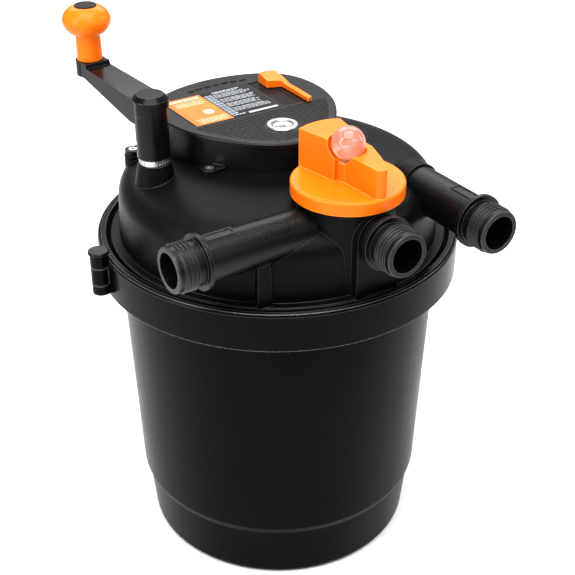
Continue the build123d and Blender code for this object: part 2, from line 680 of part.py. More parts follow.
arm_dir = (cos(radians(ARM_ANGLE)), sin(radians(ARM_ANGLE)), 0)
arm_side = Plane(origin=(crank_x, crank_y, 0), x_dir=arm_dir, z_dir=Vector(*arm_dir).cross(Vector(0, 0, 1)))
with BuildPart() as crank_arm:
    # the arm in plan, a strap that tapers towards the handle
    with BuildSketch(Plane(origin=(crank_x, crank_y, 490), x_dir=arm_dir, z_dir=(0, 0, 1))):
        with BuildLine():
            Polyline((0, -COLUMN_R + 0.6), (ARM_LENGTH, -14.2), (ARM_LENGTH, 14.2),
                     (0, COLUMN_R - 0.6), close=True)
        make_face()
        with Locations((ARM_LENGTH, 0)):
            Circle(15.2)
    extrude(amount=HANDLE_Z0 - 490)
    # side view: level top, underside rising towards the handle
    with BuildSketch(arm_side):
        with BuildLine():
            Polyline((-COLUMN_R - 1, COLUMN_Z0 - 1), (6, COLUMN_Z0 - 1), (6, ARM_ROOT_Z),
                     (COLUMN_R, ARM_ROOT_Z), (ARM_LENGTH - 10, HANDLE_Z0 - ARM_END + 0.6),
                     (ARM_LENGTH - 4, HANDLE_Z0 - ARM_END), (ARM_LENGTH + 17, HANDLE_Z0 - ARM_END),
                     (ARM_LENGTH + 17, HANDLE_Z0),
                     (ARM_LENGTH - 15.2, HANDLE_Z0), (ARM_LENGTH - 17, ARM_TOP), (COLUMN_R, ARM_TOP - 3),
                     (COLUMN_R - 4, COLUMN_Z1), (-COLUMN_R - 1, COLUMN_Z1), close=True)
        make_face()
    extrude(amount=40, both=True, mode=Mode.INTERSECT)
    add(ring(COLUMN_R, 0, COLUMN_Z0, COLUMN_Z1, (crank_x, crank_y)))
    # socket of the shaft
    add(ring(SHAFT_R, 0, COLUMN_Z0 - 1, COLUMN_Z0 + 20, (crank_x, crank_y)), mode=Mode.SUBTRACT)
    # hole of the handle's pin
    add(ring(PIN_ROOT_R, 0, HANDLE_Z0 - PIN_DEPTH, HANDLE_Z0 + 2, (handle_x, handle_y)), mode=Mode.SUBTRACT)
finish(crank_arm, "crank_arm")

# cap with a skirt on the side away from the arm, deeper on its right half
cap_r = COLUMN_R + 1.6
with BuildPart() as crank_cap:
    add(ring(cap_r, 0, COLUMN_Z1, COLUMN_Z1 + 5.5, (crank_x, crank_y)))
    chamfer(crank_cap.edges().group_by(Axis.Z)[-1], length=4.6)
    for depth, left_limit in ((7, -cap_r), (13, 0)):
        with BuildSketch(Plane(origin=(crank_x, crank_y, COLUMN_Z1 - depth), x_dir=arm_dir, z_dir=(0, 0, 1))):
            Circle(cap_r)
            Circle(COLUMN_R + FIT, mode=Mode.SUBTRACT)
            with Locations((-cap_r / 2 - 2, (cap_r - left_limit) / 2 + left_limit)):
                Rectangle(cap_r, cap_r - left_limit, mode=Mode.INTERSECT)
        extrude(amount=depth)
    # cut where the arm joins
    with BuildSketch(Plane(origin=(crank_x, crank_y, COLUMN_Z1 - 1), x_dir=arm_dir, z_dir=(0, 0, 1))):
        with Locations((COLUMN_R + 8, 0)):
            Rectangle(2 * COLUMN_R, 80)
    extrude(amount=3, mode=Mode.SUBTRACT)
finish(crank_cap, "crank_cap")

pin_top = BALL_Z + 5
with BuildPart() as crank_handle_pin:
    add(ring(PIN_ROOT_R, 0, HANDLE_Z0 - PIN_DEPTH, HANDLE_Z0 + 0.3, (handle_x, handle_y)))
    add(ring(HANDLE_PIN_R, 0, HANDLE_Z0 + GAP, pin_top, (handle_x, handle_y)))
    add(ring(HANDLE_PIN_R + 2, 0, pin_top, pin_top + 2.5, (handle_x, handle_y)))
finish(crank_handle_pin, "crank_handle_pin")

with BuildPart() as crank_handle:
    ball_foot = BALL_Z - BALL_HALF * sqrt(1 - (STEM_R / BALL_R) ** 2)
    ball_flat = BALL_Z + BALL_TOP_HALF * sqrt(1 - (BALL_FLAT_R / BALL_R) ** 2)
    with BuildSketch(Plane(origin=(handle_x, handle_y, 0), x_dir=(1, 0, 0), z_dir=(0, -1, 0))):
        with BuildLine():
            Polyline((0, HANDLE_Z0 + 0.3), (STEM_R, HANDLE_Z0 + 0.3), (STEM_R - 0.6, ball_foot))
            ThreePointArc((STEM_R - 0.6, ball_foot), (BALL_R * 0.9, BALL_Z - BALL_HALF * 0.44),
                          (BALL_R, BALL_Z))
            ThreePointArc((BALL_R, BALL_Z), (BALL_R * 0.88, BALL_Z + BALL_TOP_HALF * 0.47),
                          (BALL_FLAT_R, ball_flat))
            Polyline((BALL_FLAT_R, ball_flat), (0, ball_flat), (0, HANDLE_Z0 + 0.3))
        make_face()
    revolve(axis=Axis(origin=(handle_x, handle_y, 0), direction=(0, 0, 1)))
    add(ring(HANDLE_PIN_R + FIT, 0, HANDLE_Z0, pin_top, (handle_x, handle_y)), mode=Mode.SUBTRACT)
    add(ring(9, 0, pin_top - 0.2, BALL_Z + 40, (handle_x, handle_y)), mode=Mode.SUBTRACT)
finish(crank_handle, "crank_handle")

with BuildPart() as crank_handle_cap:
    add(ring(11.6, 0, ball_flat, ball_flat + 1.6, (handle_x, handle_y)))
    fillet(crank_handle_cap.edges().group_by(Axis.Z)[-1], radius=1.2)
    add(ring(8.9, 6.5, ball_flat - 3.5, ball_flat, (handle_x, handle_y)))
finish(crank_handle_cap, "crank_handle_cap")

# ---------------------------------------------------------------- UV head
dome_cutter = dome_solid(-GAP, LEDGE_Z)
with BuildPart() as cover_roof:
    add(cover_slab(0.0, COVER_Z - LIP_DEPTH, COVER_Z))
    chamfer(cover_roof.edges().group_by(Axis.Z)[-1], length=1.6)

lugs = ((NEAR_LUG, NEAR_LUG_TOP, 15), (FAR_LUG, FAR_LUG_TOP, 34))
with BuildPart() as uv_cover:
    add(cover_slab(LIP, 430, COVER_Z - LIP_DEPTH))
    for side in (-1, 1):
        for lug, top, reach in lugs:
            with BuildSketch(Plane.XY.offset(440)):
                with Locations((side * lug[0], lug[1])):
                    Circle(LUG_R)
                with Locations((side * (lug[0] - reach / 2), lug[1])):
                    Rectangle(reach, 2 * LUG_R - 2)
            extrude(amount=top - 440)
    add(dome_cutter, mode=Mode.SUBTRACT)
    add(cover_roof.part)
    add(cover_slab(LIP + COVER_WALL, 429, COVER_Z - COVER_WALL), mode=Mode.SUBTRACT)
    # the pads of the lid stand below the far lugs
    for side in (-1, 1):
        pad_place = (side * FAR_LUG[0], FAR_LUG[1])
        add(ring(PAD_R + 0.1, 0, BOSS_FOOT, PAD_TOP + 0.1, pad_place), mode=Mode.SUBTRACT)
        for lug, top, _ in lugs:
            place = (side * lug[0], lug[1])
            add(ring(SCREW_HOLE_R, 0, 440, top + 1, place), mode=Mode.SUBTRACT)
            add(ring(SCREW_HEAD_R + 0.6, 0, top - 2.5, top + 1, place), mode=Mode.SUBTRACT)
    # shallow bed of the label and the deeper bed of the side panel
    for box, depth in ((LABEL_BOX, LABEL_DEPTH), (PANEL_BOX, PANEL_DEPTH)):
        with BuildSketch(Plane.XY.offset(COVER_Z - depth)):
            with Locations(box_middle(box)):
                Rectangle(box[2] - box[0], box[3] - box[1])
        extrude(amount=5, mode=Mode.SUBTRACT)
    # fine ridges across the nose
    ridge_count = int(RIDGE_SPAN / RIDGE_PITCH)
    with BuildSketch(Plane.XY.offset(COVER_Z - 1.1)):
        with Locations((0, RIDGE_END - RIDGE_PITCH * (ridge_count - 1) / 2)):
            with GridLocations(1, RIDGE_PITCH, 1, ridge_count):
                Rectangle(220, RIDGE_PITCH * 0.42)
        add(cover_outline(8.5), mode=Mode.INTERSECT)
        with Locations(WINDOW):
            Circle(18.5, mode=Mode.SUBTRACT)
    extrude(amount=2, mode=Mode.SUBTRACT)
    # short grip bumps along the back edge
    for column in range(-3, 4):
        with BuildSketch(Plane.XY.offset(COVER_Z - 1)):
            with Locations((column * 11.0, 128 - 0.35 * column * column)):
                SlotOverall(8, 3)
        extrude(amount=2.2)
    # seats of the window, the lever's pin and the gland
    with BuildSketch(Plane.XY.offset(COVER_Z - COVER_WALL - 1)):
        with Locations(WINDOW):
            Circle(12.5)
        with Locations(LEVER_PIVOT):
            Circle(3.5)
    extrude(amount=8, mode=Mode.SUBTRACT)
    with BuildSketch(Plane.XZ.offset(-135)):
        with Locations((0, GLAND_Z)):
            Circle(7.5)
    extrude(amount=-25, mode=Mode.SUBTRACT)
finish(uv_cover, "uv_cover")

with BuildPart() as cover_gasket:
    add(cover_slab(5.4, 430, COVER_Z - COVER_WALL - 20))
    add(dome_cutter, mode=Mode.SUBTRACT)
    add(cover_slab(9.4, 429, COVER_Z), mode=Mode.SUBTRACT)
    for side in (-1, 1):
        pad_place = (side * FAR_LUG[0], FAR_LUG[1])
        add(ring(PAD_R + 0.1, 0, BOSS_FOOT, PAD_TOP + 0.1, pad_place), mode=Mode.SUBTRACT)
finish(cover_gasket, "cover_gasket")

with BuildPart() as label_plate:
    with BuildSketch(Plane.XY.offset(COVER_Z - LABEL_DEPTH)):
        with Locations(box_middle(LABEL_BOX)):
            RectangleRounded(LABEL_BOX[2] - LABEL_BOX[0] - 2 * GAP, LABEL_BOX[3] - LABEL_BOX[1] - 2 * GAP, 2)
    extrude(amount=LABEL_DEPTH + 0.2)
finish(label_plate, "label_plate")

with BuildPart() as side_panel:
    with BuildSketch(Plane.XY.offset(COVER_Z - PANEL_DEPTH)):
        with Locations(box_middle(PANEL_BOX)):
            Rectangle(PANEL_BOX[2] - PANEL_BOX[0] - 2 * GAP, PANEL_BOX[3] - PANEL_BOX[1] - 2 * GAP)
    extrude(amount=0.8)
finish(side_panel, "side_panel")

with BuildPart() as window_bezel:
    add(ring(16.5, 11, COVER_Z, COVER_Z + 1.8, WINDOW))
    chamfer(window_bezel.edges().group_by(Axis.Z)[-1], length=0.8)
    add(ring(12.3, 11, COVER_Z - COVER_WALL - 2, COVER_Z, WINDOW))
finish(window_bezel, "window_bezel")

with BuildPart() as window_lens:
    with Locations((WINDOW[0], WINDOW[1], COVER_Z - 20)):
        Sphere(23.2)
    add(ring(10.9, 0, COVER_Z - 0.5, COVER_Z + 10, WINDOW), mode=Mode.INTERSECT)
    add(ring(10.9, 0, COVER_Z - 2.5, COVER_Z - 0.5, WINDOW))
finish(window_lens, "window_lens")

# a block with a pointed end that tapers into a bar
lever_plan = Plane(origin=(*LEVER_PIVOT, COVER_Z + 2 * GAP), x_dir=(1, 0, 0), z_dir=(0, 0, 1))
lever_side = Plane(origin=(*LEVER_PIVOT, COVER_Z), x_dir=(0, 1, 0), z_dir=(1, 0, 0))
with BuildPart() as cover_lever:
    with BuildSketch(lever_plan):
        with BuildLine():
            Polyline((-15, -10), (-13, 11), (-3, 17), (6.5, 9), (6.5, -67), (0.8, -69), (1, -16), close=True)
        make_face()
    extrude(amount=12)
    with BuildSketch(lever_side):
        with BuildLine():
            Polyline((-74, 0), (22, 0), (22, 8), (6, 12), (-14, 8.5), (-22, 6), (-68, 5), (-74, 3),
                     close=True)
        make_face()
    extrude(amount=40, both=True, mode=Mode.INTERSECT)
    add(ring(LEVER_PIN_R + FIT, 0, COVER_Z - 5, COVER_Z + 9, LEVER_PIVOT), mode=Mode.SUBTRACT)
finish(cover_lever, "cover_lever")

with BuildPart() as cover_lever_pin:
    add(ring(LEVER_PIN_R, 0, COVER_Z - COVER_WALL, COVER_Z + 8, LEVER_PIVOT))
    add(ring(LEVER_PIN_R + 0.95, 0, COVER_Z - COVER_WALL, COVER_Z, LEVER_PIVOT))
    add(ring(2 * LEVER_PIN_R, 0, COVER_Z - COVER_WALL - 2, COVER_Z - COVER_WALL, LEVER_PIVOT))
finish(cover_lever_pin, "cover_lever_pin")

with BuildPart() as cover_screws:
    for side in (-1, 1):
        for lug, top, _ in lugs:
            place = (side * lug[0], lug[1])
            add(ring(SCREW_HEAD_R, 0, top - 2.5, top + 0.4, place))
            add(ring(SCREW_HOLE_R - 0.1, 0, top - 5.5, top - 2.5, place))
            with BuildSketch(Plane.XY.offset(top - 1.2)):
                with Locations(place):
                    Rectangle(6.4, 1.2)
                    Rectangle(1.2, 6.4)
            extrude(amount=3, mode=Mode.SUBTRACT)
finish(cover_screws, "cover_screws")

with BuildPart() as cable_gland:
    with BuildSketch(Plane.XZ.offset(-142.5)):
        with Locations((0, GLAND_Z)):
            Circle(7.4)
    extrude(amount=-6)
    with BuildSketch(Plane.XZ.offset(-148)):
        with Locations((0, GLAND_Z)):
            RegularPolygon(9, 6)
    extrude(amount=-5)
    with BuildSketch(Plane.XZ.offset(-153)):
        with Locations((0, GLAND_Z)):
            Circle(7.5)
    extrude(amount=-9, taper=12)
    with BuildSketch(Plane.XZ.offset(-140)):
        with Locations((0, GLAND_Z)):
            Circle(3.6)
    extrude(amount=-30, mode=Mode.SUBTRACT)
finish(cable_gland, "cable_gland")

with BuildPart() as ballast:
    with BuildSketch(Plane.XY.offset(464.5)):
        with Locations((0, 88)):
            RectangleRounded(70, 34, 4)
    extrude(amount=20)
finish(ballast, "ballast")

with BuildPart() as lamp_holder:
    add(ring(25.5, 0, 463, 474))
    add(ring(20, 0, 474, 482))
    add(ring(25.9, 0, 440, 463))
    add(ring(19.5, 0, 430, 462), mode=Mode.SUBTRACT)
finish(lamp_holder, "lamp_holder")

with BuildPart() as quartz_sleeve:
    add(ring(19.2, 0, 160, 461))
    fillet(quartz_sleeve.edges().group_by(Axis.Z)[0], radius=5)
    add(ring(17.2, 0, 164, 470), mode=Mode.SUBTRACT)
finish(quartz_sleeve, "quartz_sleeve")

with BuildPart() as sleeve_nut:
    with BuildSketch(Plane.XY.offset(424)):
        RegularPolygon(31, 12)
    extrude(amount=15.5)
    add(ring(19.5, 0, 420, 445), mode=Mode.SUBTRACT)
finish(sleeve_nut, "sleeve_nut")

with BuildPart() as uv_lamp:
    for side in (-1, 1):
        add(ring(6.5, 0, 180, 430, (side * 7.6, 0)))
    add(ring(15.5, 0, 430, 461.5))
    with BuildSketch(Plane.XY.offset(186)):
        Rectangle(16, 8)
    extrude(amount=10)
finish(uv_lamp, "uv_lamp")

# ---------------------------------------------------------------- foam carrier, which turns on the tub's axis
with BuildPart() as carrier_pivot:
    add(ring(30, 0, TUB_WALL + 1, TUB_WALL + 7))
    add(ring(14, 0, TUB_WALL + 7, CARRIER_Z0 + 20))
    fillet(carrier_pivot.edges().group_by(Axis.Z)[-1], radius=3)
finish(carrier_pivot, "carrier_pivot")

with BuildPart() as foam_base_plate:
    add(ring(FOAM_R + 3, 0, CARRIER_Z0, CARRIER_Z0 + PLATE_THICK))
    with BuildSketch(Plane.XY.offset(CARRIER_Z0 - 1)):
        with PolarLocations(112, 16):
            Circle(9)
        with PolarLocations(62, 10):
            Circle(8)
    extrude(amount=20, mode=Mode.SUBTRACT)
    add(ring(22, 0, CARRIER_Z0 - 12, CARRIER_Z0 + PLATE_THICK))
    add(ring(14 + FIT, 0, CARRIER_Z0 - 20, CARRIER_Z0 + 40), mode=Mode.SUBTRACT)
finish(foam_base_plate, "foam_base_plate")

with BuildPart() as centre_tube:
    add(ring(33, 30, CARRIER_Z0 + PLATE_THICK, carrier_top))
    for level in range(9):
        with BuildSketch(Plane.XY.offset(foam_z0 + 8 + level * 34)):
            with PolarLocations(31.5, 8, start_angle=22.5 * (level % 2)):
                Rectangle(12, 6)
        extrude(amount=22, mode=Mode.SUBTRACT)
finish(centre_tube, "centre_tube")

with BuildPart() as foam_discs:
    for level in range(FOAM_COUNT):
        with BuildSketch(Plane.XY.offset(foam_z0 + level * FOAM_PITCH)):
            Circle(FOAM_R)
            Circle(FOAM_BORE, mode=Mode.SUBTRACT)
            with PolarLocations(ROD_CIRCLE, 4, start_angle=45):
                Circle(ROD_R + 1, mode=Mode.SUBTRACT)
        extrude(amount=FOAM_THICK)
finish(foam_discs, "foam_discs")

with BuildPart() as foam_top_plate:
    with BuildSketch(Plane.XY.offset(carrier_top)):
        Circle(104)
        Circle(30, mode=Mode.SUBTRACT)
        with PolarLocations(68, 12):
            Circle(8, mode=Mode.SUBTRACT)
    extrude(amount=GEAR_Z0 - carrier_top)
finish(foam_top_plate, "foam_top_plate")

with BuildPart() as tie_rods:
    with BuildSketch(Plane.XY.offset(CARRIER_Z0 + PLATE_THICK)):
        with PolarLocations(ROD_CIRCLE, 4, start_angle=45):
            Circle(ROD_R)
    extrude(amount=carrier_top - CARRIER_Z0 - PLATE_THICK)
finish(tie_rods, "tie_rods")
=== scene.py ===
"""The looks of a pressurized pond filter: black plastic, orange controls and a printed label."""
import random
from math import cos, radians, sin

import bmesh
import bpy
from mathutils import Matrix, Vector


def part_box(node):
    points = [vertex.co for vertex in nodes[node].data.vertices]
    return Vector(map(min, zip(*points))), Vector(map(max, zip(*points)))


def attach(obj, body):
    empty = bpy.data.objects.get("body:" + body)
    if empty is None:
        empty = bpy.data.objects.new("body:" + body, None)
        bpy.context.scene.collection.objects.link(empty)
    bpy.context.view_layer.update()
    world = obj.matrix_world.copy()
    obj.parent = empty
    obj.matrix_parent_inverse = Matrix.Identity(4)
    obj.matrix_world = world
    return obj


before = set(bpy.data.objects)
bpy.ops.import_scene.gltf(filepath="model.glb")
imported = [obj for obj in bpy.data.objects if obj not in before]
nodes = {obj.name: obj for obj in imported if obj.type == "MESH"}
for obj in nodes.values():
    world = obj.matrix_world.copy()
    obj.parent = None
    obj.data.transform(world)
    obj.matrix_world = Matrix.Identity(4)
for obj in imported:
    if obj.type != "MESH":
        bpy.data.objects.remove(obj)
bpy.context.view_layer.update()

MM = 0.001


# ---------------------------------------------------------------- node helpers
class Nodes:
    """Short calls for building one material's node tree."""

    MIX_COLOUR_A = 6          # sockets of the Mix node when it mixes colours
    MIX_COLOUR_B = 7
    MIX_COLOUR_OUT = 2
    EDGE_MASK_FROM = 0.998         # cosine between the rounded and the flat normal where the edge mask begins: lighter edges, partly wear and partly a painted highlight
    EDGE_MASK_FULL = 0.93

    def __init__(self, name):
        self.material = bpy.data.materials.new(name)
        self.material.use_nodes = True
        self.tree = self.material.node_tree
        self.tree.nodes.clear()
        self.output = self.add("ShaderNodeOutputMaterial")
        self.shader = self.add("ShaderNodeBsdfPrincipled")
        self.join(self.shader.outputs["BSDF"], self.output.inputs["Surface"])
        self.place = self.add("ShaderNodeTexCoord").outputs["Object"]

    def add(self, kind, **values):
        """A new node with some of its properties set."""
        node = self.tree.nodes.new(kind)
        for key, value in values.items():
            setattr(node, key, value)
        return node

    def join(self, source, target):
        self.tree.links.new(source, target)

    def noise(self, scale, detail=3.0, roughness=0.5, stretch=None):
        """Noise over the object's own coordinates, with features about 1 / scale metres across."""
        node = self.add("ShaderNodeTexNoise")
        node.inputs["Scale"].default_value = scale
        node.inputs["Detail"].default_value = detail
        node.inputs["Roughness"].default_value = roughness
        source = self.place
        if stretch:
            mapping = self.add("ShaderNodeMapping")
            mapping.inputs["Scale"].default_value = stretch
            self.join(self.place, mapping.inputs["Vector"])
            source = mapping.outputs["Vector"]
        self.join(source, node.inputs["Vector"])
        return node.outputs["Fac"]

    def ramp(self, value, low, high, out_low=0.0, out_high=1.0):
        """Maps a value's range onto another, clamped."""
        node = self.add("ShaderNodeMapRange")
        node.inputs["From Min"].default_value = low
        node.inputs["From Max"].default_value = high
        node.inputs["To Min"].default_value = out_low
        node.inputs["To Max"].default_value = out_high
        self.join(value, node.inputs["Value"])
        return node.outputs["Result"]

    def mix(self, factor, first, second):
        """A colour between two, by a factor. Each colour is a tuple or a socket."""
        node = self.add("ShaderNodeMix", data_type="RGBA")
        self.join(factor, node.inputs["Factor"])
        for index, colour in ((self.MIX_COLOUR_A, first), (self.MIX_COLOUR_B, second)):
            socket = node.inputs[index]
            if isinstance(colour, tuple):
                socket.default_value = (*colour, 1.0)
            else:
                self.join(colour, socket)
        return node.outputs[self.MIX_COLOUR_OUT]

    def total(self, first, second):
        """The sum of two values."""
        node = self.add("ShaderNodeMath", operation="ADD")
        self.join(first, node.inputs[0])
        self.join(second, node.inputs[1])
        return node.outputs["Value"]

    def rounded(self, radius_mm):
        """Normals of edges rounded by a radius."""
        node = self.add("ShaderNodeBevel", samples=4)
        node.inputs["Radius"].default_value = radius_mm * MM
        return node.outputs["Normal"]

    def edge_mask(self, round_normal):
        """1 along sharp edges, 0 elsewhere."""
        geometry = self.add("ShaderNodeNewGeometry")
        compare = self.add("ShaderNodeVectorMath", operation="DOT_PRODUCT")
        self.join(round_normal, compare.inputs[0])
        self.join(geometry.outputs["Normal"], compare.inputs[1])
        return self.ramp(compare.outputs["Value"], self.EDGE_MASK_FROM, self.EDGE_MASK_FULL)

    def bump(self, height, strength, distance, base=None):
        """Normals tilted by a height, on top of other normals if given."""
        node = self.add("ShaderNodeBump")
        node.inputs["Strength"].default_value = strength
        node.inputs["Distance"].default_value = distance
        self.join(height, node.inputs["Height"])
        if base is not None:
            self.join(base, node.inputs["Normal"])
        return node.outputs["Normal"]

    def set(self, **values):
        """Sets or joins the shader's sockets, named with underscores for spaces."""
        for key, value in values.items():
            socket = self.shader.inputs[key.replace("_", " ")]
            if isinstance(value, (int, float)):
                socket.default_value = value
            else:
                self.join(value, socket)
        return self.material


# ---------------------------------------------------------------- materials
DEEP = (0.002, 0.002, 0.002)          # blacks, from the darkest
DARK = (0.0035, 0.0035, 0.004)
SOOT = (0.0055, 0.0055, 0.006)
COAL = (0.009, 0.0093, 0.0105)
WORKS = (0.012, 0.012, 0.012)         # parts inside
WORKS_LIGHT = (0.02, 0.02, 0.021)
DUST = (0.03, 0.03, 0.031)
PAINTED_EDGE_HIGHLIGHT = (0.12, 0.12, 0.125)          # edges of glossy black plastic, painted light as a highlight
WORN_AND_LIT_EDGE = (0.035, 0.035, 0.037)          # edges of grained black plastic, lighter: partly wear, partly a painted highlight
EDGE_SHEEN = 0.5                      # how much shinier an edge is


def moulded(name, dark, light, roughness, grain_mm, grain_strength, worn_and_lit_edge=WORN_AND_LIT_EDGE,
            waviness=0.02, sheen=0.2, edge_mm=0.9):
    """Moulded plastic: spark-eroded grain, faint flow variation, specks of dust, edges lighter and shinier,
    partly from wear and partly a painted highlight.
    """
    n = Nodes(name)
    cloud = n.noise(9.0, 4.0)
    fleck = n.noise(420.0, 2.0)
    base = n.mix(n.ramp(cloud, 0.35, 0.65), dark, light)
    dusted = n.mix(n.ramp(fleck, 0.62, 0.78, 0.0, 0.25), base, DUST)
    soft_edge = n.rounded(edge_mm)
    edge = n.edge_mask(soft_edge)
    # Edges painted a lighter colour: partly wear, partly a painted highlight.
    colour = n.mix(edge, dusted, worn_and_lit_edge)
    rough = n.total(n.ramp(cloud, 0.3, 0.7, roughness - 0.04, roughness + 0.05),
                    n.ramp(fleck, 0.4, 0.7, -0.02, 0.04))
    soft = n.bump(n.noise(28.0, 2.0), waviness, 0.002, soft_edge)
    grain = n.noise(1.0 / (grain_mm * MM), 2.0, 0.6)
    return n.set(Base_Color=colour, Roughness=rough, Normal=n.bump(grain, grain_strength, 0.0004, soft),
                 Specular_IOR_Level=n.ramp(edge, 0.0, 1.0, sheen, sheen + EDGE_SHEEN))


def glossy_orange(name):
    """Coloured ABS: deep orange with a faint depth of colour, light handling marks and a satin gloss."""
    n = Nodes(name)
    cloud = n.noise(14.0, 3.0)
    colour = n.mix(n.ramp(cloud, 0.3, 0.7), (0.83, 0.165, 0.005), (0.88, 0.185, 0.007))
    soft_edge = n.rounded(1.2)
    # Painted highlight: edges painted a lighter orange.
    colour = n.mix(n.edge_mask(soft_edge), colour, (1.0, 0.45, 0.12))
    scuff = n.noise(60.0, 5.0, 0.7, stretch=(1.0, 4.0, 1.0))
    rough = n.ramp(scuff, 0.35, 0.75, 0.28, 0.34)
    return n.set(Base_Color=colour, Roughness=rough, Normal=n.bump(n.noise(900.0), 0.06, 0.0003, soft_edge),
                 Specular_IOR_Level=0.2)


def brushed(name, colour, roughness, direction=(1.0, 1.0, 30.0)):
    """Brushed stainless steel."""
    n = Nodes(name)
    streak = n.noise(700.0, 3.0, 0.7, stretch=direction)
    tone = n.mix(n.ramp(streak, 0.3, 0.7), tuple(c * 0.8 for c in colour), colour)
    rough = n.ramp(streak, 0.3, 0.7, roughness, roughness + 0.16)
    return n.set(Base_Color=tone, Metallic=1.0, Roughness=rough, Normal=n.bump(streak, 0.12, 0.0002))


def clear_plastic(name, tint, roughness=0.04, clearness=1.0):
    """Clear moulded plastic with faint waves in it."""
    n = Nodes(name)
    wave = n.noise(130.0, 2.0)
    colour = n.mix(n.ramp(wave, 0.4, 0.6), tint, (1.0, 1.0, 1.0))
    rough = n.ramp(wave, 0.3, 0.7, roughness, roughness + 0.05)
    return n.set(Base_Color=colour, Transmission_Weight=clearness, IOR=1.46, Roughness=rough,
                 Normal=n.bump(wave, 0.15, 0.0006))


def film(name, colour, other, roughness):
    """Printed polyester film with a slight unevenness in the ink."""
    n = Nodes(name)
    cloud = n.noise(60.0, 4.0)
    ink = n.mix(n.ramp(cloud, 0.3, 0.7), colour, other)
    rough = n.ramp(cloud, 0.3, 0.7, roughness, roughness + 0.1)
    return n.set(Base_Color=ink, Roughness=rough, Specular_IOR_Level=0.04,
                 Normal=n.bump(n.noise(500.0), 0.05, 0.0002))


def foam(name):
    """Open-cell filter foam."""
    n = Nodes(name)
    cell = n.add("ShaderNodeTexVoronoi")
    cell.inputs["Scale"].default_value = 320.0
    n.join(n.place, cell.inputs["Vector"])
    depth = cell.outputs["Distance"]
    colour = n.mix(n.ramp(depth, 0.1, 0.6), (0.02, 0.05, 0.12), (0.07, 0.20, 0.42))
    return n.set(Base_Color=colour, Roughness=0.95, Normal=n.bump(depth, 1.0, 0.002))


# Moulded: darkest and lightest tone, roughness, grain size in mm and grain strength
# Each edge colour is lighter than its plastic: partly wear, partly a painted highlight.
lid_black = moulded("lid_black", DARK, SOOT, 0.34, 1.6, 0.8, sheen=0.1)
port_black = moulded("port_black", DARK, SOOT, 0.30, 1.6, 0.75, worn_and_lit_edge=(0.06, 0.06, 0.062), sheen=0.26)
tub_black = moulded("tub_black", DEEP, DARK, 0.30, 0.5, 0.04, worn_and_lit_edge=(0.01, 0.01, 0.01), waviness=0.03,
                    sheen=0.06)
clamp_black = moulded("clamp_black", DEEP, DARK, 0.24, 0.6, 0.04, worn_and_lit_edge=PAINTED_EDGE_HIGHLIGHT, sheen=0.08, edge_mm=1.6)
gloss_black = moulded("gloss_black", DARK, SOOT, 0.22, 0.7, 0.015, worn_and_lit_edge=PAINTED_EDGE_HIGHLIGHT, sheen=0.2, edge_mm=0.4)
cover_black = moulded("cover_black", SOOT, COAL, 0.33, 0.6, 0.07, sheen=0.2)
inner_black = moulded("inner_black", WORKS, WORKS_LIGHT, 0.45, 0.8, 0.1)
orange = glossy_orange("orange_plastic")
steel = brushed("brushed_steel", (0.74, 0.74, 0.75), 0.24)
bezel_silver = brushed("bezel_silver", (0.50, 0.51, 0.53), 0.3, direction=(1.0, 8.0, 1.0))
dome_clear = clear_plastic("dome_clear", (1.0, 0.70, 0.58), clearness=0.86)
lens_clear = clear_plastic("lens_clear", (0.95, 0.96, 1.0), 0.08)
quartz = clear_plastic("quartz", (0.93, 0.95, 1.0), 0.03)
rubber = moulded("rubber", WORKS, (0.02, 0.02, 0.02), 0.62, 0.5, 0.12)
panel_film = film("panel_film", (0.018, 0.016, 0.018), (0.026, 0.023, 0.025), 0.2)
label_dark = film("label_dark", (0.020, 0.022, 0.025), (0.03, 0.032, 0.036), 0.3)
label_orange = film("label_orange", (0.72, 0.19, 0.055), (0.78, 0.22, 0.07), 0.4)
ink_white = film("ink_white", (0.42, 0.43, 0.45), (0.52, 0.53, 0.55), 0.35)
ink_grey = film("ink_grey", (0.22, 0.26, 0.30), (0.30, 0.34, 0.38), 0.35)
ink_pale = film("ink_pale", (0.78, 0.50, 0.38), (0.82, 0.56, 0.44), 0.4)
filter_foam = foam("filter_foam")

MATERIAL_NODES = (
    (tub_black, ("tub",)),
    (lid_black, ("lid",)),
    (port_black, ("port_left", "port_middle", "port_right")),
    (clamp_black, ("clamp_front_half", "clamp_rear_half")),
    (gloss_black, ("clamp_hinge_pin", "latch_lever", "crank_arm", "crank_cap", "crank_handle_cap",
                   "cable_gland")),
    (cover_black, ("uv_cover",)),
    (orange, ("selector_knob", "crank_handle", "cover_lever")),
    (dome_clear, ("sight_dome",)),
    (lens_clear, ("window_lens",)),
    (bezel_silver, ("window_bezel",)),
    (label_dark, ("label_plate",)),
    (panel_film, ("side_panel",)),
    (rubber, ("lid_seal", "valve_seal", "cover_gasket")),
    (steel, ("latch_pin", "knob_screw", "crank_handle_pin", "crank_shaft", "crank_seal_ring",
             "cover_lever_pin", "cover_screws", "tie_rods")),
    (inner_black, ("valve_rotor", "crank_bush", "crank_pinion", "ring_gear", "ballast", "lamp_holder",
                   "sleeve_nut", "carrier_pivot", "foam_base_plate", "centre_tube", "foam_top_plate")),
    (quartz, ("quartz_sleeve", "uv_lamp")),
    (filter_foam, ("foam_discs",)),
)
for material, names in MATERIAL_NODES:
    for name in names:
        mesh = nodes[name].data
        mesh.materials.clear()
        mesh.materials.append(material)


# ---------------------------------------------------------------- mesh helpers
def mesh_object(name, bm, material):
    """Turns a bmesh into an object of the scene."""
    mesh = bpy.data.meshes.new(name)
    bm.to_mesh(mesh)
    bm.free()
    mesh.materials.append(material)
    obj = bpy.data.objects.new(name, mesh)
    bpy.context.scene.collection.objects.link(obj)
    return obj


def piece(name, bm, material):
    """A visible piece fixed to the body that stands still, under one of the record's slots."""
    obj = mesh_object(name, bm, material)
    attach(obj, "root")


